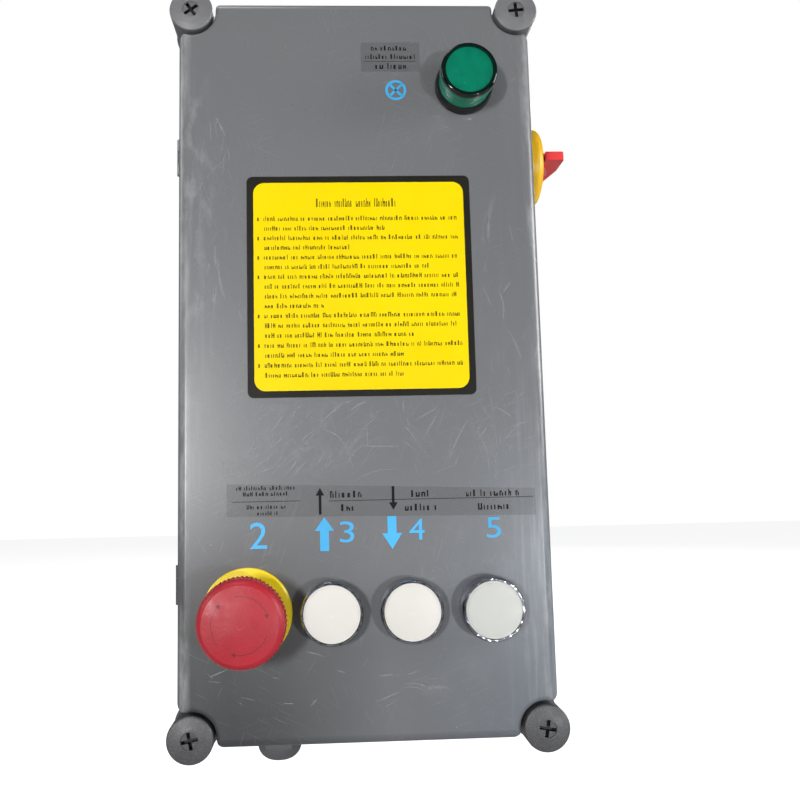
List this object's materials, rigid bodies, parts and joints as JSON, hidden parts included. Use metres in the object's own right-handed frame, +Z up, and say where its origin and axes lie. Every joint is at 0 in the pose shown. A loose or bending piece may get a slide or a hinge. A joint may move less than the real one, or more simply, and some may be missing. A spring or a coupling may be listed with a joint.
{
  "type": "crane control panel",
  "caption": "Wall-mounted crane control panel: hinged plastic enclosure with pilot lamp, emergency stop, push buttons, side main switch and control gear inside.",
  "frame": {"origin": "centre of the four wall fixing holes, on the back face of the base", "axes": "+Z up the panel, +X to the right seen from the front, -Y out of the wall through the cover"},
  "size_m": [0.216, 0.166, 0.3998],
  "materials": {
    "base_grey": "moulded ABS, satin",
    "cover_grey": "moulded ABS, satin gloss, scuffed",
    "seal_rubber": "soft black rubber",
    "steel": "bright plated",
    "zinc_steel": "zinc plated sheet",
    "black_plastic": "moulded, satin",
    "white_plastic": "moulded, satin",
    "white_cap": "moulded, smooth",
    "beige_plastic": "moulded polyamide",
    "brass": "turned",
    "core_steel": "stacked laminations, varnished",
    "coil_tape": "wrapped insulating tape",
    "green_lens": "clear tinted lens",
    "yellow_plastic": "moulded, smooth",
    "amber_plastic": "moulded, smooth",
    "red_plastic": "moulded, smooth",
    "chrome": "polished",
    "screw_grey": "glass-filled polyamide, turned face",
    "gland_plastic": "moulded polyamide"
  },
  "bodies": {
    "root": {"base_tub": "base_grey", "hinge_pins": "steel", "mounting_plate": "zinc_steel", "plate_screws": "steel", "din_rails": "zinc_steel", "contactor_housing": "black_plastic", "contactor_terminals": "brass", "breaker_housing": "white_plastic", "transformer_core": "core_steel", "transformer_coil": "coil_tape", "transformer_frame": "zinc_steel", "terminal_strip": "beige_plastic", "terminal_screws": "steel", "rectifier": "black_plastic", "fuse_holder": "black_plastic", "earth_stud": "brass", "switch_dial": "amber_plastic", "switch_gasket": "seal_rubber", "switch_locknut": "black_plastic", "switch_body": "black_plastic", "switch_screws": "steel", "gland_bodies": "gland_plastic", "gland_washers": "seal_rubber", "gland_locknuts": "gland_plastic", "gland_seals": "seal_rubber", "gland_domes": "gland_plastic"},
    "cover": {"cover": "cover_grey", "cover_seal": "seal_rubber", "lamp_base": "black_plastic", "lamp_lens": "green_lens", "lamp_led": "white_plastic", "panel_gaskets": "seal_rubber", "panel_locknuts": "black_plastic", "estop_ring": "yellow_plastic", "estop_body": "black_plastic", "estop_spring": "steel", "button_bezels": "chrome", "contact_blocks": "black_plastic", "contact_screws": "brass", "up_spring": "steel", "down_spring": "steel", "lock_spring": "steel"},
    "screw_top_left": {"cover_screw_top_left": "screw_grey"},
    "screw_top_right": {"cover_screw_top_right": "screw_grey"},
    "screw_bottom_left": {"cover_screw_bottom_left": "screw_grey"},
    "screw_bottom_right": {"cover_screw_bottom_right": "screw_grey"},
    "up_button": {"up_cap": "white_cap", "up_plunger": "red_plastic"},
    "down_button": {"down_cap": "white_cap", "down_plunger": "red_plastic"},
    "lock_button": {"lock_cap": "white_cap", "lock_plunger": "red_plastic"},
    "estop_stem": {"estop_stem": "black_plastic"},
    "estop_head": {"estop_head": "red_plastic"},
    "switch_rotor": {"switch_handle": "red_plastic", "switch_shaft": "steel"},
    "contactor_armature": {"contactor_armature": "white_plastic"},
    "breaker_toggle": {"breaker_toggle": "black_plastic"}
  },
  "joints": [
    {"name": "cover_hinge", "type": "hinge", "parent": "root", "child": "cover", "pos_m": [-0.0932, -0.102, 0], "axis": [0, 0, -1], "range_deg": [0, 115]},
    {"name": "screw_top_left_turn", "type": "hinge", "parent": "cover", "child": "screw_top_left", "pos_m": [-0.084, -0.13, 0.18], "axis": [0, 1, 0], "range_deg": [0, 90]},
    {"name": "screw_top_right_turn", "type": "hinge", "parent": "cover", "child": "screw_top_right", "pos_m": [0.084, -0.13, 0.18], "axis": [0, 1, 0], "range_deg": [0, 90]},
    {"name": "screw_bottom_left_turn", "type": "hinge", "parent": "cover", "child": "screw_bottom_left", "pos_m": [-0.084, -0.13, -0.18], "axis": [0, 1, 0], "range_deg": [0, 90]},
    {"name": "screw_bottom_right_turn", "type": "hinge", "parent": "cover", "child": "screw_bottom_right", "pos_m": [0.084, -0.13, -0.18], "axis": [0, 1, 0], "range_deg": [0, 90]},
    {"name": "up_press", "type": "slide", "parent": "cover", "child": "up_button", "axis": [0, 1, 0], "range_m": [0, 0.0045], "stiffness_N_per_m": 400, "springref_m": -0.004, "deforming": ["up_spring"]},
    {"name": "down_press", "type": "slide", "parent": "cover", "child": "down_button", "axis": [0, 1, 0], "range_m": [0, 0.0045], "stiffness_N_per_m": 400, "springref_m": -0.004, "deforming": ["down_spring"]},
    {"name": "lock_press", "type": "slide", "parent": "cover", "child": "lock_button", "axis": [0, 1, 0], "range_m": [0, 0.0045], "stiffness_N_per_m": 400, "springref_m": -0.004, "deforming": ["lock_spring"]},
    {"name": "estop_push", "type": "slide", "parent": "cover", "child": "estop_stem", "axis": [0, 1, 0], "range_m": [0, 0.006], "deforming": ["estop_spring"]},
    {"name": "estop_twist", "type": "hinge", "parent": "estop_stem", "child": "estop_head", "pos_m": [-0.057, -0.13, -0.123], "axis": [0, 1, 0], "range_deg": [0, 40], "stiffness_Nm_per_rad": 0.05, "springref_deg": -5.73},
    {"name": "switch_turn", "type": "hinge", "parent": "root", "child": "switch_rotor", "pos_m": [0.0905, -0.06, 0.1205], "axis": [-1, 0, 0], "range_deg": [0, 90]},
    {"name": "contactor_pull_in", "type": "slide", "parent": "root", "child": "contactor_armature", "axis": [0, 1, 0], "range_m": [0, 0.0035], "stiffness_N_per_m": 300, "springref_m": -0.003},
    {"name": "breaker_switch", "type": "hinge", "parent": "root", "child": "breaker_toggle", "pos_m": [0.006, -0.0675, 0.062], "axis": [1, 0, 0], "range_deg": [0, 52]}
  ]
}
